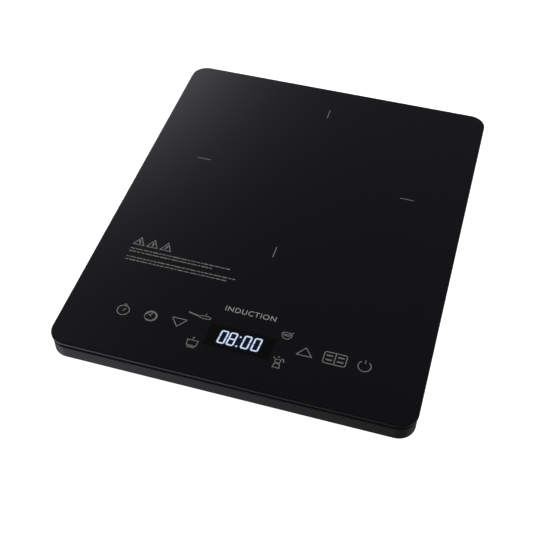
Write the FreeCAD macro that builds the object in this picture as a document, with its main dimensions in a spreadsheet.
import FreeCAD, Part
import math
import os
import re
import Sketcher
from FreeCAD import Placement, Rotation, Vector

# A portable induction cooktop: a glass plate in a shallow frame, over a plastic pan that holds the
# coil, the power board, a flat blower and the touch controls.
# Millimetres. +X is the cook's right, -Y is the front, +Z is up. The origin is under the middle of the
# feet, on the worktop. A name that ends in _x or _y is a place in that frame.

SIZES = {
    # glass plate, and the bead of silicone that glues it to the frame
    "glass_wide": 280, "glass_deep": 350, "glass_thick": 4, "glass_corner": 14, "glass_arris": 0.8,
    "bead_high": 2, "bead_inset": 5, "bead_wide": 6,
    # frame: a skirt with a ledge under the glass
    "frame_inset": 0.8, "frame_high": 12, "frame_wall": 2.5, "ledge_thick": 2.5, "ledge_wide": 14,
    "ledge_corner": 6, "frame_round": 1,
    # pan: a tray that hangs under the frame by a flange inside the skirt
    "pan_inset": 18, "pan_high": 22.5, "pan_wall": 2.5, "pan_corner": 16, "pan_round": 3,
    "flange_thick": 2.5, "flange_gap": 0.3,
    "post_radius": 3.4, "boss_radius": 3.2, "foot_hole": 3,
    "case_screw_x": 129, "case_screw_pitch": 120, "case_screw_end": 164,
    # air slots in the pan
    "slot_wide": 3, "slot_pitch": 6, "rear_slot_high": 12, "rear_slot_lift": 6, "rear_slot_count": 25,
    "side_slot_count": 9, "side_slot_y": -138, "rear_slot_start": -62, "intake_slots": 3,
    # rubber feet
    "foot_high": 4.5, "foot_radius": 9, "foot_x": 98, "foot_y": 132,
    "foot_stem": 2.9, "foot_barb": 3.7, "barb_high": 2.5,
    # hole and bush for the mains cord
    "gland_x": -95, "gland_lift": 12, "gland_bore": 3.5, "gland_neck": 5.5, "gland_flange": 8,
    "gland_lip": 1.6,
    # screws: machine screw and its head
    "screw_radius": 1.5, "screw_head": 3, "screw_head_high": 1.8, "screw_slack": 0.2, "cross_wide": 0.8,
    "case_screw_long": 8, "small_screw_long": 5, "sink_screw_long": 6.5,
    # coil: its middle lies behind the middle of the glass
    "coil_y": 49, "mica_thick": 0.5, "mica_radius": 93, "wire_radius": 1.35, "wire_pitch": 3,
    "coil_radius": 88, "coil_half_turns": 42, "lead_bend": 3, "lead_step": 4, "lead_drop": 12,
    "former_radius": 92, "former_thick": 2, "former_hole": 12, "ear_reach": 98, "ear_radius": 6,
    "former_ears": 4,
    "lead_hole": 3, "ferrite_start": 36, "ferrite_long": 50, "ferrite_wide": 12, "ferrite_thick": 4.5,
    "ferrite_count": 8, "channel_wall": 1.5, "channel_high": 3.5, "ferrite_slack": 0.2,
    # thermometer that touches the glass in the middle of the coil
    "sensor_hole": 13, "sensor_radius": 9, "sensor_flange": 15, "sensor_flange_high": 1.7,
    "bead_radius": 2, "sensor_bead_high": 4,
    # power board
    "board_x": -41, "board_y": -89, "board_wide": 134, "board_deep": 106, "board_thick": 1.6,
    "board_lift": 4, "board_edge": 5,
    # coil terminals on the power board, and the lugs on the wire's ends
    "terminal_y": -48, "terminal_wide": 8, "terminal_high": 6, "lug_thick": 1, "lug_long": 15,
    "barrel_radius": 2.4, "barrel_high": 4,
    # heat sink: an extrusion along X with two side legs
    "sink_x": -18, "sink_y": -115.5, "sink_long": 84, "sink_wide": 35, "sink_base": 3, "sink_lift": 5.2,
    "sink_leg": 1.6, "fin_high": 6.5, "fin_thick": 1.4, "fin_pitch": 3.7, "fin_channel": 10,
    "fins_each_side": 4,
    # transistor and rectifier that lie flat under the heat sink
    "transistor_x": -8, "transistor_wide": 16, "transistor_deep": 18, "transistor_thick": 5,
    "transistor_legs": 3, "transistor_leg_pitch": 5.4,
    "rectifier_x": -42, "rectifier_wide": 28, "rectifier_deep": 16, "rectifier_thick": 5,
    "rectifier_legs": 4, "rectifier_leg_pitch": 7.5,
    "leg_wide": 1.2, "leg_thick": 0.6, "leg_reach": 2.5,
    # ring-core chokes and the wire on them
    "choke_wire": 1.6,
    "choke_x": -92, "choke_y": -106, "choke_radius": 11, "choke_hole": 5.5, "choke_high": 10,
    "choke_turns": 14, "inductor_turns": 16,
    "inductor_x": 8, "inductor_y": -49.5, "inductor_radius": 10.5, "inductor_hole": 5, "inductor_high": 9,
    # fuse, varistor, supply capacitors, buzzer
    "fuse_x": -96, "fuse_y": -66, "fuse_long": 20, "fuse_radius": 2.5, "fuse_lift": 4,
    "clip_long": 5, "clip_wall": 0.6, "varistor_x": -70, "varistor_y": -60, "varistor_radius": 6,
    "varistor_thick": 4, "varistor_lift": 1.5, "supply_can_x": -93, "supply_can_y": -136.5,
    "supply_can_pitch": 9.5, "supply_can_radius": 4, "supply_can_high": 12, "supply_can_count": 3,
    "buzzer_x": -97, "buzzer_y": -125, "buzzer_radius": 6, "buzzer_high": 8, "buzzer_hole": 1.2,
    "tab_x": -104, "tab_y": -52, "tab_pitch": 6.5, "tab_wide": 6.3, "tab_thick": 0.8, "tab_high": 8,
    # control board behind the touch field, on its bracket
    "control_y": -129, "control_wide": 216, "control_deep": 42, "bracket_wide": 234, "bracket_deep": 46,
    "bracket_thick": 2, "bracket_drop": 11.4, "bracket_post_x": 113, "bracket_post_y": 17,
    "control_screw_x": 104, "control_screw_y": 17,
    "display_y": -135.75, "display_wide": 50, "display_deep": 20, "display_high": 7.5,
    "spring_radius": 4, "spring_wire": 0.35, "spring_pitch": 1.6, "key_y": -132,
    "spring_gap": 0.1, "lamp_x": 33, "lamp_y": -134, "lamp_pitch": 26, "lamp_wide": 5, "lamp_high": 3,
    "touch_chip_x": 20, "touch_chip_y": -115, "touch_chip_wide": 9, "touch_chip_high": 1.6,
    # ribbon cable between the boards
    "ribbon_x": -72, "ribbon_top_y": -116, "ribbon_low_y": -98, "ribbon_wide": 12, "ribbon_thick": 1,
    "ribbon_bend": 2.5,
    "plug_wide": 14, "plug_deep": 6, "plug_high": 6,
    # blower: impeller, volute case, motor in the hub
    "blower_x": 72, "blower_y": -92, "plate_lift": 1, "plate_thick": 1.5, "case_high": 17.5,
    "case_roof": 2, "case_wall": 1.8, "volute_start": 34, "volute_step": 3, "outlet_reach": 40,
    "tongue_y": -6, "intake_radius": 24, "intake_rib": 2,
    "ear_right": 31, "ear_left": -27, "ear_front": -34, "ear_back": 29.5, "ear_disc": 5.5, "ear_lift": 8,
    "impeller_radius": 30, "impeller_lift": 1.5, "impeller_high": 13.5, "impeller_plate": 1.4,
    "hub_radius": 16, "hub_wall": 1.9, "hub_floor": 2, "blade_count": 24, "blade_long": 6,
    "blade_thick": 1.1, "blade_reach": 25, "blade_skew": 8, "blade_ring": 1.7, "blade_ring_high": 1.2,
    "blade_drop": 0.6, "magnet_thick": 1.4, "magnet_high": 9, "shaft_radius": 1.46, "shaft_fit": 0.04,
    "shaft_long": 13.3, "bush_radius": 3.5, "bush_long": 10, "spigot_radius": 5, "spigot_long": 11,
    "motor_high": 8, "motor_gap": 1.5, "stator_radius": 12, "core_radius": 7, "pole_wide": 3,
    "pole_count": 4,
    "shoe_thick": 1.4, "shoe_gap": 3, "winding_wide": 7, "winding_long": 2.4, "winding_reach": 8.4,
    "winding_wrap": 1,
}

# Boxed parts on the power board: wide, deep, high, then the place of the middle in x and y.
BOXED = {
    "resonance_capacitor": (32, 18, 20, 4, -70),
    "filter_capacitor": (34, 18, 22, -40, -72),
    "mains_capacitor": (26, 11, 18, -92, -84),
    "supply_transformer": (14, 12, 12, -74, -124),
    "controller_chip": (12, 8, 2.2, -70, -112),
}
for part_name, numbers in BOXED.items():
    for what, number in zip(("wide", "deep", "high", "x", "y"), numbers):
        SIZES[f"{part_name}_{what}"] = number

# Touch keys from left to right: timer, preset, down, up, function, power.
KEY_PLACES = {"timer": -95, "preset": -72, "down": -50, "up": 49.4, "function": 72, "power": 94.3}
for key_name, number in KEY_PLACES.items():
    SIZES[f"{key_name}_key_x"] = number

# Heights that follow from the sizes, as formulas.
FRAME_BASE = "(foot_high + pan_high)"
BEAD_BASE = f"({FRAME_BASE} + frame_high)"
GLASS_BASE = f"({BEAD_BASE} + bead_high)"
FLOOR = "(foot_high + pan_wall)"
MICA_BASE = f"({GLASS_BASE} - mica_thick)"
FORMER_BASE = f"({MICA_BASE} - 2 * wire_radius - former_thick)"
FERRITE_BASE = f"({FORMER_BASE} - ferrite_thick)"
BOARD_BASE = f"({FLOOR} + board_lift)"
BOARD_TOP = f"({BOARD_BASE} + board_thick)"
TERMINAL_TOP = f"({BOARD_TOP} + terminal_high)"
SINK_BASE = f"({BOARD_TOP} + sink_lift)"
BRACKET_BASE = f"({GLASS_BASE} - bracket_drop)"
CONTROL_BASE = f"({BRACKET_BASE} + bracket_thick)"
CONTROL_TOP = f"({CONTROL_BASE} + board_thick)"
PLATE_BASE = f"({FLOOR} + plate_lift)"
CASE_BASE = f"({PLATE_BASE} + plate_thick)"
ROOF_BASE = f"({CASE_BASE} + case_high - case_roof)"
IMPELLER_BASE = f"({CASE_BASE} + impeller_lift)"

FRAME_WIDE = "(glass_wide - 2 * frame_inset)"
FRAME_DEEP = "(glass_deep - 2 * frame_inset)"
FRAME_CORNER = "(glass_corner - frame_inset)"
PAN_WIDE = f"({FRAME_WIDE} - 2 * pan_inset)"
PAN_DEEP = f"({FRAME_DEEP} - 2 * pan_inset)"
COIL_INNER = "(coil_radius - coil_half_turns * wire_pitch / 2)"
LEAD_Y = "(terminal_y + lug_long / 2)"
LUG_TOP = f"({TERMINAL_TOP} + lug_thick)"
EAR_BASE = f"({CASE_BASE} + ear_lift)"

doc = FreeCAD.newDocument("induction_cooktop")
sheet = doc.addObject("Spreadsheet::Sheet", "sizes")
for row, (alias, number) in enumerate(SIZES.items(), 1):
    sheet.set(f"A{row}", alias)
    sheet.set(f"B{row}", str(number))
    sheet.setAlias(f"B{row}", alias)
doc.recompute()

PIECES = []


# ---------------------------------------------------------------- formulas, places, labels

def formula(text):
    """Give a formula in the sheet's own words the form that an expression needs: sizes.glass_wide / 2."""
    return re.sub(r"[a-z]\w*", lambda word: f"sizes.{word[0]}" if word[0] in SIZES else word[0], text)


def size(alias):
    return float(sheet.get(alias))


def bind(thing, prop, text):
    thing.setExpression(prop, formula(text))


def place(thing, x="0", y="0", z="0"):
    for axis, text in zip("xyz", (x, y, z)):
        bind(thing, f"Placement.Base.{axis}", text)


def keep(thing, label):
    """Make a document object one of the cooktop's pieces, under the name of its file."""
    thing.Label = label
    PIECES.append(thing)
    return thing


# ---------------------------------------------------------------- sketches

def sketch(body, lift="0", role="XY_Plane", turn=0):
    drawing = body.newObject("Sketcher::SketchObject", "sketch")
    plane = next(part for part in body.Origin.OriginFeatures if part.Role == role)
    drawing.AttachmentSupport = (plane, [""])
    drawing.MapMode = "FlatFace"
    drawing.AttachmentOffset = Placement(Vector(), Rotation(Vector(0, 0, 1), turn))
    bind(drawing, "AttachmentOffset.Base.z", lift)
    return drawing


def fix(drawing, kind, *where, start, text):
    """Add a dimension with the value that the first drawing has, and bind it to its formula."""
    index = drawing.addConstraint(Sketcher.Constraint(kind, *where, start))
    bind(drawing, f"Constraints[{index}]", text)


def fix_sides(drawing, lines, half, wide, deep, x, y):
    """Set the four sides of a rectangle, drawn front, right, back, left, by its size and middle."""
    front, right, back, left = lines
    fix(drawing, "DistanceY", -1, 1, front, 1, start=-half, text=f"({y}) - ({deep}) / 2")
    fix(drawing, "DistanceX", -1, 1, right, 1, start=half, text=f"({x}) + ({wide}) / 2")
    fix(drawing, "DistanceY", -1, 1, back, 1, start=half, text=f"({y}) + ({deep}) / 2")
    fix(drawing, "DistanceX", -1, 1, left, 1, start=-half, text=f"({x}) - ({wide}) / 2")
    for flat, upright in ((front, right), (back, left)):
        drawing.addConstraint(Sketcher.Constraint("Horizontal", flat))
        drawing.addConstraint(Sketcher.Constraint("Vertical", upright))


def rectangle(drawing, wide, deep, x="0", y="0"):
    half = 10.0
    corners = [Vector(-half, -half), Vector(half, -half), Vector(half, half), Vector(-half, half)]
    lines = [drawing.addGeometry(Part.LineSegment(corners[k], corners[(k + 1) % 4])) for k in range(4)]
    for k in range(4):
        drawing.addConstraint(Sketcher.Constraint("Coincident", lines[k], 2, lines[(k + 1) % 4], 1))
    fix_sides(drawing, lines, half, wide, deep, x, y)


def rounded_rectangle(drawing, wide, deep, corner, x="0", y="0"):
    half, round_off = 50.0, 5.0
    inner = half - round_off
    lines, arcs = [], []
    for k in range(4):
        turn = Rotation(Vector(0, 0, 1), 90 * k)
        ends = [turn.multVec(Vector(side * inner, -half)) for side in (-1, 1)]
        lines.append(drawing.addGeometry(Part.LineSegment(*ends)))
        circle_of_corner = Part.Circle(turn.multVec(Vector(inner, -inner)), Vector(0, 0, 1), round_off)
        start = math.radians(90 * k - 90)
        arcs.append(drawing.addGeometry(Part.ArcOfCircle(circle_of_corner, start, start + math.pi / 2)))
    for k in range(4):
        drawing.addConstraint(Sketcher.Constraint("Tangent", lines[k], 2, arcs[k], 1))
        drawing.addConstraint(Sketcher.Constraint("Tangent", arcs[k], 2, lines[(k + 1) % 4], 1))
    for k in range(3):
        drawing.addConstraint(Sketcher.Constraint("Equal", arcs[k], arcs[k + 1]))
    fix(drawing, "Radius", arcs[0], start=round_off, text=corner)
    fix_sides(drawing, lines, half, wide, deep, x, y)


def circle(drawing, radius, x="0", y="0"):
    ring = drawing.addGeometry(Part.Circle(Vector(1, 1), Vector(0, 0, 1), 1))
    fix(drawing, "Radius", ring, start=1.0, text=radius)
    fix(drawing, "DistanceX", -1, 1, ring, 3, start=1.0, text=x)
    fix(drawing, "DistanceY", -1, 1, ring, 3, start=1.0, text=y)


# ---------------------------------------------------------------- features of a body

def new_body(label, x="0", y="0", z="0"):
    body = keep(doc.addObject("PartDesign::Body", label), label)
    place(body, x, y, z)
    return body


def pad(body, drawing, length):
    feature = body.newObject("PartDesign::Pad", "pad")
    feature.Profile = drawing
    bind(feature, "Length", length)
    return feature


def pocket(body, drawing, length, forward=True):
    """Cut a sketch out along its plane's normal, or against it, and see that it did cut."""
    doc.recompute()
    before = body.Shape.Volume
    feature = body.newObject("PartDesign::Pocket", "pocket")
    feature.Profile = drawing
    feature.Reversed = forward
    bind(feature, "Length", length)
    doc.recompute()
    if not feature.Shape.Volume < before - 0.01:
        raise RuntimeError(f"a pocket in {body.Label} cuts nothing")
    return feature


def around(body, features, count):
    """Repeat features about the body's own upright axis."""
    ring = body.newObject("PartDesign::PolarPattern", "ring")
    ring.Originals = features
    ring.Axis = (next(part for part in body.Origin.OriginFeatures if part.Role == "Z_Axis"), [""])
    ring.Angle = 360
    bind(ring, "Occurrences", count)
    body.Tip = ring
    return ring


def along(body, features, role, length, count, back=False):
    """Repeat features in a row along one of the body's own axes."""
    row_of = body.newObject("PartDesign::LinearPattern", "row")
    row_of.Originals = features
    row_of.Direction = (next(part for part in body.Origin.OriginFeatures if part.Role == role), [""])
    row_of.Reversed = back
    bind(row_of, "Length", length)
    bind(row_of, "Occurrences", count)
    body.Tip = row_of
    return row_of


def round_rim(body, feature, height, radius):
    """Round every edge of a feature that lies flat at one height of its shape."""
    doc.recompute()
    names = []
    for index, edge in enumerate(feature.Shape.Edges, 1):
        box = edge.BoundBox
        if abs(box.ZMin - height) < 0.01 and abs(box.ZMax - height) < 0.01:
            names.append(f"Edge{index}")
    fillet = body.newObject("PartDesign::Fillet", "fillet")
    fillet.Base = (feature, names)
    bind(fillet, "Radius", radius)
    return fillet


# ---------------------------------------------------------------- primitives and booleans

def block(wide, deep, high, x="0", y="0", z="0"):
    """A box that stands on z with its middle at x, y."""
    thing = doc.addObject("Part::Box", "block")
    for prop, text in (("Length", wide), ("Width", deep), ("Height", high)):
        bind(thing, prop, text)
    place(thing, f"({x}) - ({wide}) / 2", f"({y}) - ({deep}) / 2", z)
    return thing


def rod(radius, high, x="0", y="0", z="0", turn=None, angle=360):
    thing = doc.addObject("Part::Cylinder", "rod")
    bind(thing, "Radius", radius)
    bind(thing, "Height", high)
    thing.Angle = angle
    thing.Placement = Placement(Vector(), turn or Rotation())
    place(thing, x, y, z)
    return thing


def cone(radius, top_radius, high, x="0", y="0", z="0"):
    thing = doc.addObject("Part::Cone", "cone")
    for prop, text in (("Radius1", radius), ("Radius2", top_radius), ("Height", high)):
        bind(thing, prop, text)
    place(thing, x, y, z)
    return thing


def fuse(*things):
    joined = doc.addObject("Part::MultiFuse", "fuse")
    joined.Shapes = list(things)
    joined.Refine = True
    return joined


def cut(base, *tools):
    left = doc.addObject("Part::Cut", "cut")
    left.Base = base
    left.Tool = tools[0] if len(tools) == 1 else fuse(*tools)
    left.Refine = True
    return left


def tube(outer, inner, high, x="0", y="0", z="0"):
    return cut(rod(outer, high, x, y, z), rod(inner, high, x, y, z))


def group(label, things):
    """Separate solids under one name."""
    bundle = doc.addObject("Part::Compound", label)
    bundle.Links = list(things)
    return keep(bundle, label)


def copies(master, places, turn=None):
    """Links to one solid, each at its own place."""
    links = []
    for x, y, z in places:
        link = doc.addObject("App::Link", "copy")
        link.LinkedObject = master
        link.LinkTransform = True
        link.Placement = Placement(Vector(), turn or Rotation())
        place(link, x, y, z)
        links.append(link)
    return links


def screw(length):
    """A pan-head screw with a cross recess: the shank points down from z = 0, the head sits above."""
    head = rod("screw_head", "screw_head_high")
    shank = rod("screw_radius", length, z=f"-({length})")
    recess_long = "1.3 * screw_head"
    recess = [block(recess_long, "cross_wide", "screw_head_high", z="screw_head_high / 2"),
              block("cross_wide", recess_long, "screw_head_high", z="screw_head_high / 2")]
    return cut(fuse(head, shank), *recess)


# ---------------------------------------------------------------- casing

CASE_SPOTS = [(f"{side} * case_screw_x", f"{place_in_row} * case_screw_pitch")
              for side in (-1, 1) for place_in_row in (-1, 0, 1)]
CASE_SPOTS += [("0", f"{side} * case_screw_end") for side in (-1, 1)]
FOOT_SPOTS = {"front_left": (-1, -1), "front_right": (1, -1), "rear_left": (-1, 1), "rear_right": (1, 1)}
COIL_EAR = "(ear_reach * sqrt(0.5))"
COIL_SPOTS = [(f"{side} * {COIL_EAR}", f"coil_y + {end} * {COIL_EAR}")
              for side in (-1, 1) for end in (-1, 1)]
BOARD_SPOTS = [(f"board_x + {side} * (board_wide / 2 - board_edge)",
                f"board_y + {end} * (board_deep / 2 - board_edge)")
               for side in (-1, 1) for end in (-1, 1)]
BRACKET_SPOTS = [(f"{side} * bracket_post_x", f"control_y + {end} * bracket_post_y")
                 for side in (-1, 1) for end in (-1, 1)]
CONTROL_SPOTS = [(f"{side} * control_screw_x", f"control_y + {end} * control_screw_y")
                 for side in (-1, 1) for end in (-1, 1)]
BLOWER_SPOTS = [(f"blower_x + ear_{side}", f"blower_y + ear_{end}")
                for side, end in (("right", "front"), ("right", "back"), ("left", "back"))]


def glass_top():
    body = new_body("glass_top", z=GLASS_BASE)
    outline = sketch(body)
    rounded_rectangle(outline, "glass_wide", "glass_deep", "glass_corner")
    plate = pad(body, outline, "glass_thick")
    doc.recompute()
    arris = round_rim(body, plate, plate.Shape.BoundBox.ZMax, "glass_arris")
    round_rim(body, arris, plate.Shape.BoundBox.ZMin, "glass_arris")


def glass_adhesive():
    body = new_body("glass_adhesive", z=BEAD_BASE)
    ring = sketch(body)
    for inset in ("bead_inset", "(bead_inset + bead_wide)"):
        rounded_rectangle(ring, f"{FRAME_WIDE} - 2 * {inset}", f"{FRAME_DEEP} - 2 * {inset}",
                          "ledge_corner")
    pad(body, ring, "bead_high")


def top_frame():
    body = new_body("top_frame", z=FRAME_BASE)
    outline = sketch(body)
    rounded_rectangle(outline, FRAME_WIDE, FRAME_DEEP, FRAME_CORNER)
    slab = pad(body, outline, "frame_high")
    doc.recompute()
    rounded = round_rim(body, slab, slab.Shape.BoundBox.ZMax, "frame_round")
    round_rim(body, rounded, slab.Shape.BoundBox.ZMin, "frame_round")

    hollow = sketch(body)
    rounded_rectangle(hollow, f"{FRAME_WIDE} - 2 * frame_wall", f"{FRAME_DEEP} - 2 * frame_wall",
                      f"{FRAME_CORNER} - frame_wall")
    pocket(body, hollow, "frame_high - ledge_thick")
    opening = sketch(body)
    rounded_rectangle(opening, f"{FRAME_WIDE} - 2 * ledge_wide", f"{FRAME_DEEP} - 2 * ledge_wide",
                      "ledge_corner")
    pocket(body, opening, "frame_high")

    bosses = sketch(body, lift="flange_thick")
    for x, y in CASE_SPOTS:
        circle(bosses, "boss_radius", x, y)
        circle(bosses, "screw_radius", x, y)
    pad(body, bosses, "frame_high - ledge_thick - flange_thick")


def bottom_housing():
    body = new_body("bottom_housing", z="foot_high")
    outline = sketch(body)
    rounded_rectangle(outline, PAN_WIDE, PAN_DEEP, "pan_corner")
    tray = pad(body, outline, "pan_high + flange_thick")
    doc.recompute()
    round_rim(body, tray, tray.Shape.BoundBox.ZMin, "pan_round")

    flange = sketch(body, lift="pan_high")
    inset = "(frame_wall + flange_gap)"
    rounded_rectangle(flange, f"{FRAME_WIDE} - 2 * {inset}", f"{FRAME_DEEP} - 2 * {inset}",
                      f"{FRAME_CORNER} - {inset}")
    for x, y in CASE_SPOTS:
        circle(flange, "screw_radius + screw_slack", x, y)
    pad(body, flange, "flange_thick")

    inside = sketch(body, lift="pan_wall")
    rounded_rectangle(inside, f"{PAN_WIDE} - 2 * pan_wall", f"{PAN_DEEP} - 2 * pan_wall",
                      "pan_corner - pan_wall")
    pocket(body, inside, "pan_high + flange_thick - pan_wall")

    posts = (
        (BOARD_SPOTS, BOARD_BASE), (COIL_SPOTS, FORMER_BASE), (BRACKET_SPOTS, BRACKET_BASE),
        (BLOWER_SPOTS, EAR_BASE),
    )
    for spots, top in posts:
        ring = sketch(body, lift="pan_wall")
        for x, y in spots:
            circle(ring, "post_radius", x, y)
            circle(ring, "screw_radius", x, y)
        pad(body, ring, f"{top} - {FLOOR}")
    intake_rib = sketch(body, lift="pan_wall")
    circle(intake_rib, "intake_radius + intake_rib", "blower_x", "blower_y")
    circle(intake_rib, "intake_radius", "blower_x", "blower_y")
    pad(body, intake_rib, "plate_lift")

    vents_and_holes(body)


def vents_and_holes(body):
    """The pan's openings: air in under the blower, air out at the rear and side, feet, and the cord."""
    intake = sketch(body)
    for index in range(-SIZES["intake_slots"], SIZES["intake_slots"] + 1):
        offset = f"{index} * slot_pitch"
        length = f"2 * sqrt((intake_radius - 2) ^ 2 - ({offset}) ^ 2)"
        rounded_rectangle(intake, length, "slot_wide", "slot_wide / 2 - 0.05", "blower_x",
                          f"blower_y + {offset}")
    pocket(body, intake, "pan_wall")

    feet = sketch(body)
    for side, end in FOOT_SPOTS.values():
        circle(feet, "foot_hole", f"{side} * foot_x", f"{end} * foot_y")
    pocket(body, feet, "pan_wall")

    rear_slot = sketch(body, lift=f"-{PAN_DEEP} / 2", role="XZ_Plane")
    rectangle(rear_slot, "slot_wide", "rear_slot_high", "rear_slot_start",
              "rear_slot_lift + rear_slot_high / 2")
    slot = pocket(body, rear_slot, "pan_wall")
    along(body, [slot], "X_Axis", "(rear_slot_count - 1) * slot_pitch", "rear_slot_count")

    side_slot = sketch(body, lift=f"-{PAN_WIDE} / 2", role="YZ_Plane")
    rectangle(side_slot, "slot_wide", "rear_slot_high", "side_slot_y",
              "rear_slot_lift + rear_slot_high / 2")
    slot = pocket(body, side_slot, "pan_wall")
    along(body, [slot], "Y_Axis", "(side_slot_count - 1) * slot_pitch", "side_slot_count")

    cord_hole = sketch(body, lift=f"-{PAN_DEEP} / 2", role="XZ_Plane")
    circle(cord_hole, "gland_neck", "gland_x", "gland_lift")
    pocket(body, cord_hole, "pan_wall")


def feet():
    for where, (side, end) in FOOT_SPOTS.items():
        pad_of_foot = cone("foot_radius - 1", "foot_radius", "foot_high")
        stem = rod("foot_stem", "pan_wall", z="foot_high")
        barb = cone("foot_barb", "foot_stem - 0.5", "barb_high", z=FLOOR)
        foot = keep(fuse(pad_of_foot, stem, barb), f"foot_{where}")
        place(foot, f"{side} * foot_x", f"{end} * foot_y")


def cord_gland():
    """A grommet in the rear wall: a lip outside, a neck through the wall and a lip inside."""
    into_case = Rotation(Vector(1, 0, 0), 90)
    outside = f"{PAN_DEEP} / 2"
    height = "foot_high + gland_lift"
    lip_out = rod("gland_flange", "gland_lip", "gland_x", f"{outside} + gland_lip", height, into_case)
    neck = rod("gland_neck", "pan_wall", "gland_x", outside, height, into_case)
    lip_in = rod("gland_flange", "gland_lip", "gland_x", f"{outside} - pan_wall", height, into_case)
    bore = rod("gland_bore", "pan_wall + 2 * gland_lip", "gland_x", f"{outside} + gland_lip", height,
               into_case)
    keep(cut(fuse(lip_out, neck, lip_in), bore), "cord_gland")


def case_screws():
    upside_down = Rotation(Vector(1, 0, 0), 180)
    group("case_screws", copies(screw("case_screw_long"),
                                [(x, y, FRAME_BASE) for x, y in CASE_SPOTS], upside_down))


# ---------------------------------------------------------------- coil

def mica_sheet():
    return keep(tube("mica_radius", "sensor_hole", "mica_thick", "0", "coil_y", MICA_BASE), "mica_sheet")


def coil_former():
    """A disc with four ears, and a channel under it for each ferrite bar."""
    body = new_body("coil_former", y="coil_y", z=FORMER_BASE)
    disc = sketch(body)
    circle(disc, "former_radius")
    circle(disc, "former_hole")
    circle(disc, "lead_hole", f"-{COIL_INNER}", "lead_step")
    pad(body, disc, "former_thick")

    ear = sketch(body, turn=45)
    rounded_rectangle(ear, "4 * ear_radius", "2 * ear_radius", "ear_radius - 0.1", "ear_reach - ear_radius")
    around(body, [pad(body, ear, "former_thick")], "former_ears")
    ear_hole = sketch(body, turn=45)
    circle(ear_hole, "screw_radius + screw_slack", "ear_reach")
    around(body, [pocket(body, ear_hole, "former_thick")], "former_ears")

    channel = sketch(body, lift="-channel_high")
    middle = "ferrite_start + ferrite_long / 2"
    room = "2 * ferrite_slack"
    rectangle(channel, f"ferrite_long + {room} + 2 * channel_wall",
              f"ferrite_wide + {room} + 2 * channel_wall", middle)
    rectangle(channel, f"ferrite_long + {room}", f"ferrite_wide + {room}", middle)
    around(body, [pad(body, channel, "channel_high")], "ferrite_count")


def ferrite_bars():
    bar = block("ferrite_long", "ferrite_wide", "ferrite_thick", "ferrite_start + ferrite_long / 2")
    bars = []
    count = SIZES["ferrite_count"]
    for index in range(count):
        turn = Rotation(Vector(0, 0, 1), 360 / count * index)
        bars += copies(bar, [("0", "coil_y", FERRITE_BASE)], turn)
    group("ferrite_bars", bars)


def coil_screws():
    group("coil_screws", copies(screw("small_screw_long"),
                                [(x, y, f"{FORMER_BASE} + former_thick") for x, y in COIL_SPOTS]))


def pan_sensor():
    """A rubber cap that stands in the middle of the coil and holds the thermistor against the glass."""
    flange = rod("sensor_flange", "sensor_flange_high", "0", "coil_y",
                 f"{FORMER_BASE} - sensor_flange_high")
    stem = rod("sensor_radius", f"{GLASS_BASE} - {FORMER_BASE}", "0", "coil_y", FORMER_BASE)
    seat = rod("bead_radius", "sensor_bead_high", "0", "coil_y", f"{GLASS_BASE} - sensor_bead_high")
    keep(cut(fuse(flange, stem), seat), "pan_sensor_cap")
    keep(rod("bead_radius", "sensor_bead_high", "0", "coil_y", f"{GLASS_BASE} - sensor_bead_high"),
         "pan_thermistor")


def coil_terminals():
    """Brass blocks on the power board, and the lugs that the ends of the coil's wire are crimped in."""
    blocks, lugs, spots = [], [], []
    for x in ("-coil_radius", f"-{COIL_INNER}"):
        terminal = block("terminal_wide", "terminal_wide", "terminal_high", x, "terminal_y", BOARD_TOP)
        thread = rod("screw_radius", "terminal_high", x, "terminal_y", BOARD_TOP)
        blocks.append(cut(terminal, thread))
        tongue = block("terminal_wide", "lug_long", "lug_thick", x,
                       "terminal_y + (lug_long - terminal_wide) / 2", TERMINAL_TOP)
        eye = rod("screw_radius", "lug_thick", x, "terminal_y", TERMINAL_TOP)
        barrel = tube("barrel_radius", "wire_radius", "barrel_high", x, LEAD_Y, LUG_TOP)
        lugs.append(fuse(cut(tongue, eye), barrel))
        spots.append((x, "terminal_y", LUG_TOP))
    group("coil_terminals", blocks)
    group("lug_screws", copies(screw("small_screw_long"), spots))
    return group("coil_lugs", lugs)


def run_through(points, bend):
    """Edges of straight runs through the points, with an arc of one radius in each right-angled turn."""
    edges = []
    start = points[0]
    for corner, after in zip(points[1:-1], points[2:]):
        back, onward = (start - corner).normalize(), (after - corner).normalize()
        inside = (back + onward) * bend
        enter, leave = corner + back * bend, corner + onward * bend
        middle = corner + inside - inside.normalize() * bend
        edges.append(Part.LineSegment(start, enter).toShape())
        edges.append(Part.Arc(enter, middle, leave).toShape())
        start = leave
    edges.append(Part.LineSegment(start, points[-1]).toShape())
    return edges


def flat_spiral(centre, outer, pitch, half_turns):
    """Edges of a spiral of half circles, inwards from its left end, first over the back."""
    edges = []
    left = centre - Vector(outer)
    for index in range(half_turns):
        radius = outer - index * pitch / 2
        side = 1 if index % 2 == 0 else -1
        middle = left + Vector(side * radius, side * radius)
        end = left + Vector(side * 2 * radius)
        edges.append(Part.Arc(left, middle, end).toShape())
        left = end
    return edges, left


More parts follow.
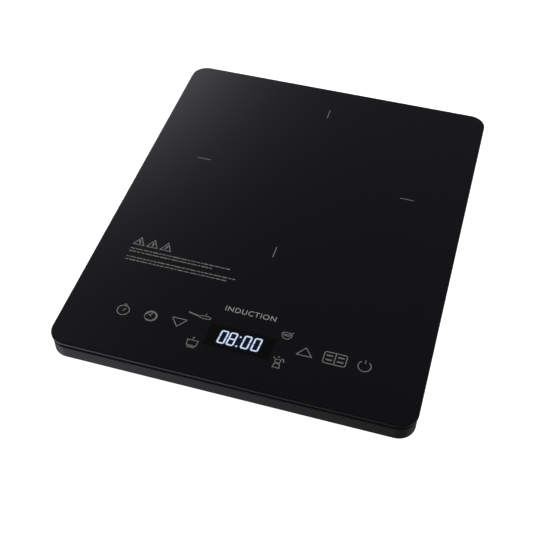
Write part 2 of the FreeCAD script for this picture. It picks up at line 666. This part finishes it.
def coil_winding(mica, lugs):
    """One litz wire from lug to lug: up beside the coil, round the spiral, down and out under it."""
    doc.recompute()
    wire_radius, bend = size("wire_radius"), size("lead_bend")
    high = mica.Shape.BoundBox.ZMin - wire_radius
    low = high - size("lead_drop")
    lug_top = lugs.Shape.BoundBox.ZMax - size("barrel_high")
    lead_y = size("terminal_y") + size("lug_long") / 2
    outer = size("coil_radius")

    left_end = Vector(-outer, size("coil_y"), high)
    spiral, inner_end = flat_spiral(Vector(0, size("coil_y"), high), outer, size("wire_pitch"),
                                    int(size("coil_half_turns")))
    lead_in = run_through([Vector(-outer, lead_y, lug_top), Vector(-outer, lead_y, high), left_end], bend)
    step = inner_end + Vector(0, size("lead_step"))
    lead_out = run_through([inner_end, step, Vector(step.x, step.y, low), Vector(step.x, lead_y, low),
                            Vector(step.x, lead_y, lug_top)], bend)
    path = Part.Wire(lead_in + spiral + lead_out)
    section = Part.Wire(Part.makeCircle(wire_radius, path.Vertexes[0].Point, Vector(0, 0, 1)))
    winding = keep(doc.addObject("Part::Feature", "coil_winding"), "coil_winding")
    winding.Shape = path.makePipeShell([section], True, False)
    winding.Placement = Placement()


# ---------------------------------------------------------------- power board

def power_board():
    plate = block("board_wide", "board_deep", "board_thick", "board_x", "board_y", BOARD_BASE)
    holes = [rod("screw_radius + screw_slack", "board_thick", x, y, BOARD_BASE) for x, y in BOARD_SPOTS]
    keep(cut(plate, *holes), "power_board")
    group("board_screws", copies(screw("small_screw_long"), [(x, y, BOARD_TOP) for x, y in BOARD_SPOTS]))
    for name in BOXED:
        case = block(f"{name}_wide", f"{name}_deep", f"{name}_high", f"{name}_x", f"{name}_y", BOARD_TOP)
        keep(case, name)


def heat_sink():
    """An extruded base with fins above and two legs below, bored for the screws of its two devices."""
    base = block("sink_long", "sink_wide", "sink_base", "sink_x", "sink_y", SINK_BASE)
    bars = [base]
    for side in (-1, 1):
        for index in range(SIZES["fins_each_side"]):
            offset = f"{side} * (fin_channel / 2 + fin_thick / 2 + {index} * fin_pitch)"
            bars.append(block("sink_long", "fin_thick", "fin_high", "sink_x", f"sink_y + {offset}",
                              f"{SINK_BASE} + sink_base"))
        bars.append(block("sink_long", "sink_leg", "sink_lift", "sink_x",
                          f"sink_y + {side} * (sink_wide - sink_leg) / 2", BOARD_TOP))
    holes = [rod("screw_radius", "sink_base", x, "sink_y", SINK_BASE)
             for x in ("transistor_x", "rectifier_x")]
    keep(cut(fuse(*bars), *holes), "heat_sink")
    group("sink_screws", copies(screw("sink_screw_long"),
                                [(x, "sink_y", f"{SINK_BASE} + sink_base")
                                 for x in ("transistor_x", "rectifier_x")]))


def flat_device(label, name):
    """A power device that lies under the heat sink, its legs bent down to the board."""
    legs = SIZES[f"{name}_legs"]
    x = f"{name}_x"
    base = f"({SINK_BASE} - {name}_thick)"
    middle = f"({SINK_BASE} - {name}_thick / 2)"
    case = block(f"{name}_wide", f"{name}_deep", f"{name}_thick", x, "sink_y", base)
    edge = f"sink_y - {name}_deep / 2"
    parts = [cut(case, rod("screw_radius", f"{name}_thick", x, "sink_y", base))]
    for index in range(legs):
        leg_x = f"{x} + ({index} - ({legs} - 1) / 2) * {name}_leg_pitch"
        parts.append(block("leg_wide", "leg_reach", "leg_thick", leg_x, f"{edge} - leg_reach / 2", middle))
        parts.append(block("leg_wide", "leg_thick", f"{middle} + leg_thick - {BOARD_TOP}", leg_x,
                           f"{edge} - leg_reach + leg_thick / 2", BOARD_TOP))
    keep(fuse(*parts), label)


def ring_choke(label, name):
    """A ring core that lies on the board, with its turns of wire standing proud of it."""
    body = new_body(label, f"{name}_x", f"{name}_y", f"{BOARD_TOP} + choke_wire / 2")
    core = sketch(body)
    circle(core, f"{name}_radius")
    circle(core, f"{name}_hole")
    pad(body, core, f"{name}_high")
    loop = sketch(body, lift="-choke_wire / 2")
    rectangle(loop, f"{name}_radius - {name}_hole + choke_wire", "choke_wire",
              f"({name}_radius + {name}_hole) / 2")
    around(body, [pad(body, loop, f"{name}_high + choke_wire")], f"{name}_turns")


def fuse_and_clips():
    lying = Rotation(Vector(0, 1, 0), 90)
    axis = f"{BOARD_TOP} + fuse_lift"
    keep(rod("fuse_radius", "fuse_long", "fuse_x - fuse_long / 2", "fuse_y", axis, lying), "fuse")
    clips = []
    for side in (-1, 1):
        x = f"fuse_x + {side} * (fuse_long - clip_long) / 2"
        cradle = block("clip_long", "2 * (fuse_radius + clip_wall)", "fuse_lift + clip_wall", x, "fuse_y",
                       BOARD_TOP)
        hollow = rod("fuse_radius", "clip_long", f"{x} - clip_long / 2", "fuse_y", axis, lying)
        clips.append(cut(cradle, hollow))
    group("fuse_clips", clips)


def small_board_parts():
    upright = Rotation(Vector(1, 0, 0), 90)
    disc = rod("varistor_radius", "varistor_thick", "varistor_x", "varistor_y + varistor_thick / 2",
               f"{BOARD_TOP} + varistor_lift + varistor_radius", upright)
    legs = [block("leg_wide", "leg_thick", "2 * varistor_lift", f"varistor_x + {side} * varistor_radius / 3",
                  "varistor_y", BOARD_TOP) for side in (-1, 1)]
    keep(fuse(disc, *legs), "varistor")

    cans = [rod("supply_can_radius", "supply_can_high", f"supply_can_x + {index} * supply_can_pitch",
                "supply_can_y", BOARD_TOP) for index in range(SIZES["supply_can_count"])]
    group("supply_capacitors", cans)
    shell = rod("buzzer_radius", "buzzer_high", "buzzer_x", "buzzer_y", BOARD_TOP)
    sound_hole = rod("buzzer_hole", "buzzer_high / 2", "buzzer_x", "buzzer_y",
                     f"{BOARD_TOP} + buzzer_high / 2")
    keep(cut(shell, sound_hole), "buzzer")
    tabs = [block("tab_thick", "tab_wide", "tab_high", f"tab_x + {index} * tab_pitch", "tab_y", BOARD_TOP)
            for index in range(2)]
    group("mains_tabs", tabs)


# ---------------------------------------------------------------- touch controls

def control_bracket():
    """A plate on four posts of the pan that carries the control board under the glass."""
    plate = block("bracket_wide", "bracket_deep", "bracket_thick", "0", "control_y", BRACKET_BASE)
    stops = [block("channel_wall", "control_deep", "board_thick",
                   f"{side} * (control_wide / 2 + channel_wall / 2)", "control_y", CONTROL_BASE)
             for side in (-1, 1)]
    window = block("plug_wide + 2 * screw_slack", "plug_deep + 2 * screw_slack", "bracket_thick", "ribbon_x",
                   "ribbon_top_y", BRACKET_BASE)
    holes = [rod("screw_radius + screw_slack", "bracket_thick", x, y, BRACKET_BASE)
             for x, y in BRACKET_SPOTS]
    threads = [rod("screw_radius", "bracket_thick", x, y, BRACKET_BASE) for x, y in CONTROL_SPOTS]
    keep(cut(fuse(plate, *stops), window, *holes, *threads), "control_bracket")
    group("bracket_screws", copies(screw("small_screw_long"),
                                   [(x, y, CONTROL_BASE) for x, y in BRACKET_SPOTS]))


def control_board():
    plate = block("control_wide", "control_deep", "board_thick", "0", "control_y", CONTROL_BASE)
    holes = [rod("screw_radius", "board_thick", x, y, CONTROL_BASE) for x, y in CONTROL_SPOTS]
    keep(cut(plate, *holes), "control_board")
    group("control_screws", copies(screw("bracket_thick + board_thick"),
                                   [(x, y, CONTROL_TOP) for x, y in CONTROL_SPOTS]))
    keep(block("display_wide", "display_deep", "display_high", "0", "display_y", CONTROL_TOP),
         "display_module")
    lamp = block("lamp_wide", "lamp_wide", "lamp_high")
    lamp_spots = [(f"{side} * lamp_x", f"lamp_y + {end} * lamp_pitch / 2", CONTROL_TOP)
                  for side in (-1, 1) for end in (-1, 1)]
    group("indicator_lamps", copies(lamp, lamp_spots))
    keep(block("touch_chip_wide", "touch_chip_wide", "touch_chip_high", "touch_chip_x", "touch_chip_y",
               CONTROL_TOP), "touch_chip")


def touch_springs():
    """A spring under each key, which carries its touch from the glass to the board."""
    body = doc.addObject("PartDesign::Body", "spring")
    section = sketch(body, role="XZ_Plane")
    circle(section, "spring_wire", "spring_radius", "spring_wire")
    coils = body.newObject("PartDesign::AdditiveHelix", "coils")
    coils.Profile = section
    coils.ReferenceAxis = (next(part for part in body.Origin.OriginFeatures if part.Role == "Z_Axis"), [""])
    coils.Mode = "pitch-height-angle"
    bind(coils, "Pitch", "spring_pitch")
    bind(coils, "Height", f"{GLASS_BASE} - {CONTROL_TOP} - 2 * spring_wire - spring_gap")
    group("touch_springs", copies(body, [(f"{name}_key_x", "key_y", CONTROL_TOP) for name in KEY_PLACES]))


def ribbon():
    """A flat cable that steps back from a plug under the control board to one on the power board."""
    upper = block("plug_wide", "plug_deep", "plug_high", "ribbon_x", "ribbon_top_y",
                  f"{CONTROL_BASE} - plug_high")
    lower = block("plug_wide", "plug_deep", "plug_high", "ribbon_x", "ribbon_low_y", BOARD_TOP)
    group("ribbon_plugs", [upper, lower])
    doc.recompute()
    x, back_y, front_y = size("ribbon_x"), size("ribbon_low_y"), size("ribbon_top_y")
    top, bottom = upper.Shape.BoundBox.ZMin, lower.Shape.BoundBox.ZMax
    middle = (top + bottom) / 2
    route = [Vector(x, front_y, top), Vector(x, front_y, middle), Vector(x, back_y, middle),
             Vector(x, back_y, bottom)]
    path = Part.Wire(run_through(route, size("ribbon_bend")))
    wide, thick = size("ribbon_wide") / 2, size("ribbon_thick") / 2
    corners = [Vector(x + side * wide, front_y + end * thick, top)
               for side, end in ((-1, -1), (1, -1), (1, 1), (-1, 1), (-1, -1))]
    cable = keep(doc.addObject("Part::Feature", "ribbon_cable"), "ribbon_cable")
    cable.Shape = path.makePipeShell([Part.makePolygon(corners)], True, False)
    cable.Placement = Placement()


# ---------------------------------------------------------------- blower

def span(x_from, x_to, y_from, y_to, high, z):
    """A box between two places in x and two in y."""
    return block(f"(({x_to}) - ({x_from}))", f"(({y_to}) - ({y_from}))", high,
                 f"(({x_from}) + ({x_to})) / 2", f"(({y_from}) + ({y_to})) / 2", z)


def volute(grow, reach, high, z):
    """The blower's outline: three quarter discs whose radii step up clockwise, and a straight outlet."""
    half = "volute_step / 2"
    middles = ((half, half), (half, f"-{half}"), (f"-{half}", f"-{half}"))
    solids = []
    for index, (x, y) in enumerate(middles):
        radius = f"volute_start + {index} * volute_step + {grow}"
        turn = Rotation(Vector(0, 0, 1), 90 - 90 * index)
        solids.append(rod(radius, high, f"blower_x + {x}", f"blower_y + {y}", z, turn, angle=90))
    front = f"blower_y - {half} - (volute_start + 2 * volute_step + {grow})"
    tongue = f"blower_y + tongue_y + {grow}"
    left = f"blower_x + {half} - (volute_start + {grow})"
    solids.append(span(f"blower_x - {reach}", f"blower_x - {half}", front, tongue, high, z))
    solids.append(span(left, f"blower_x + {half}", "blower_y - volute_start / 2", f"blower_y + {half}",
                       high, z))
    return fuse(*solids)


def blower_case():
    shell = cut(volute("case_wall", "outlet_reach", "case_high", CASE_BASE),
                volute("0", "(outlet_reach + 1)", "(case_high - case_roof)", CASE_BASE))
    ears = [rod("ear_disc", "case_roof", x, y, EAR_BASE) for x, y in BLOWER_SPOTS]
    ear_holes = [rod("screw_radius + screw_slack", "case_roof", x, y, EAR_BASE) for x, y in BLOWER_SPOTS]
    room = volute("0", "outlet_reach", "(case_high - case_roof)", CASE_BASE)
    spigot = tube("spigot_radius", "bush_radius", "spigot_long", "blower_x", "blower_y",
                  f"{ROOF_BASE} - spigot_long")
    keep(fuse(cut(fuse(shell, cut(fuse(*ears), room)), *ear_holes), spigot), "blower_case")
    plate = volute("case_wall", "outlet_reach", "plate_thick", PLATE_BASE)
    intake = rod("intake_radius", "plate_thick", "blower_x", "blower_y", PLATE_BASE)
    keep(cut(plate, intake), "blower_plate")
    group("blower_screws", copies(screw("small_screw_long"),
                                  [(x, y, f"{EAR_BASE} + case_roof") for x, y in BLOWER_SPOTS]))


def blower_impeller():
    """A hub cup that opens upwards, a plate round its mouth, and blades that hang from the plate."""
    body = new_body("blower_impeller", "blower_x", "blower_y", IMPELLER_BASE)
    floor = sketch(body)
    circle(floor, "hub_radius")
    circle(floor, "shaft_radius")
    pad(body, floor, "hub_floor")
    wall = sketch(body)
    circle(wall, "hub_radius")
    circle(wall, "hub_radius - hub_wall")
    pad(body, wall, "impeller_high")
    plate = sketch(body, lift="impeller_high - impeller_plate")
    circle(plate, "impeller_radius")
    circle(plate, "hub_radius - hub_wall / 2")
    pad(body, plate, "impeller_plate")

    blade = sketch(body, lift="-blade_drop")
    rectangle(blade, "blade_long", "blade_thick", "blade_reach", "blade_skew")
    first = pad(body, blade, "impeller_high + blade_drop - impeller_plate / 2")
    around(body, [first], "blade_count")
    ring = sketch(body, lift="-blade_drop")
    circle(ring, "impeller_radius")
    circle(ring, "impeller_radius - blade_ring")
    pad(body, ring, "blade_ring_high")


def blower_motor():
    """The motor: magnet ring and shaft turn with the hub, bush and wound core stay on the case."""
    stator_base = f"({IMPELLER_BASE} + hub_floor + motor_gap)"
    keep(tube("hub_radius - hub_wall", "hub_radius - hub_wall - magnet_thick", "magnet_high", "blower_x",
              "blower_y", f"{IMPELLER_BASE} + hub_floor"), "blower_magnet")
    keep(rod("shaft_radius", "shaft_long", "blower_x", "blower_y", IMPELLER_BASE), "blower_shaft")
    keep(tube("bush_radius", "shaft_radius + shaft_fit", "bush_long", "blower_x", "blower_y",
              f"{ROOF_BASE} - bush_long"), "blower_bush")

    body = new_body("blower_core", "blower_x", "blower_y", stator_base)
    core = sketch(body)
    circle(core, "core_radius")
    circle(core, "spigot_radius")
    pad(body, core, "motor_high")
    pole = sketch(body)
    rectangle(pole, "stator_radius - core_radius", "pole_wide", "(stator_radius + core_radius) / 2 - 0.5")
    around(body, [pad(body, pole, "motor_high")], "pole_count")
    shoe = sketch(body)
    circle(shoe, "stator_radius")
    circle(shoe, "stator_radius - shoe_thick")
    pad(body, shoe, "motor_high")
    gap = sketch(body, turn=45)
    rectangle(gap, "2 * shoe_gap", "shoe_gap", "stator_radius")
    around(body, [pocket(body, gap, "motor_high")], "pole_count")

    around_pole = block("winding_long", "winding_wide", "motor_high + 2 * winding_wrap", "winding_reach",
                        z="-winding_wrap")
    pole_room = block("winding_long", "pole_wide", "motor_high", "winding_reach")
    winding = cut(around_pole, pole_room)
    windings = []
    for index in range(SIZES["pole_count"]):
        turn = Rotation(Vector(0, 0, 1), 360 / SIZES["pole_count"] * index)
        windings += copies(winding, [("blower_x", "blower_y", stator_base)], turn)
    group("motor_windings", windings)


# ---------------------------------------------------------------- make, check, write

def check(things):
    doc.recompute()
    for thing in doc.Objects:
        if {"Invalid", "Error"} & set(thing.State):
            raise RuntimeError(f"{thing.Label} failed: {thing.State}")
    for piece in things:
        if piece.Shape.isNull() or not piece.Shape.isValid() or not piece.Shape.Solids:
            raise RuntimeError(f"{piece.Label} has no valid solid")


def write(things):
    os.makedirs("parts", exist_ok=True)
    for piece in things:
        piece.Shape.exportStep(f"parts/{piece.Label}.step")
        print(f"{piece.Label}: {len(piece.Shape.Solids)} solid(s), {piece.Shape.Volume / 1000:.2f} cm3")


glass_top()
glass_adhesive()
top_frame()
bottom_housing()
feet()
cord_gland()
case_screws()

sheet_under_glass = mica_sheet()
coil_former()
ferrite_bars()
coil_screws()
pan_sensor()
wire_lugs = coil_terminals()
coil_winding(sheet_under_glass, wire_lugs)

power_board()
heat_sink()
flat_device("power_transistor", "transistor")
flat_device("bridge_rectifier", "rectifier")
ring_choke("noise_choke", "choke")
ring_choke("filter_inductor", "inductor")
fuse_and_clips()
small_board_parts()

control_bracket()
control_board()
touch_springs()
ribbon()

blower_case()
blower_impeller()
blower_motor()

check(PIECES)
write(PIECES)
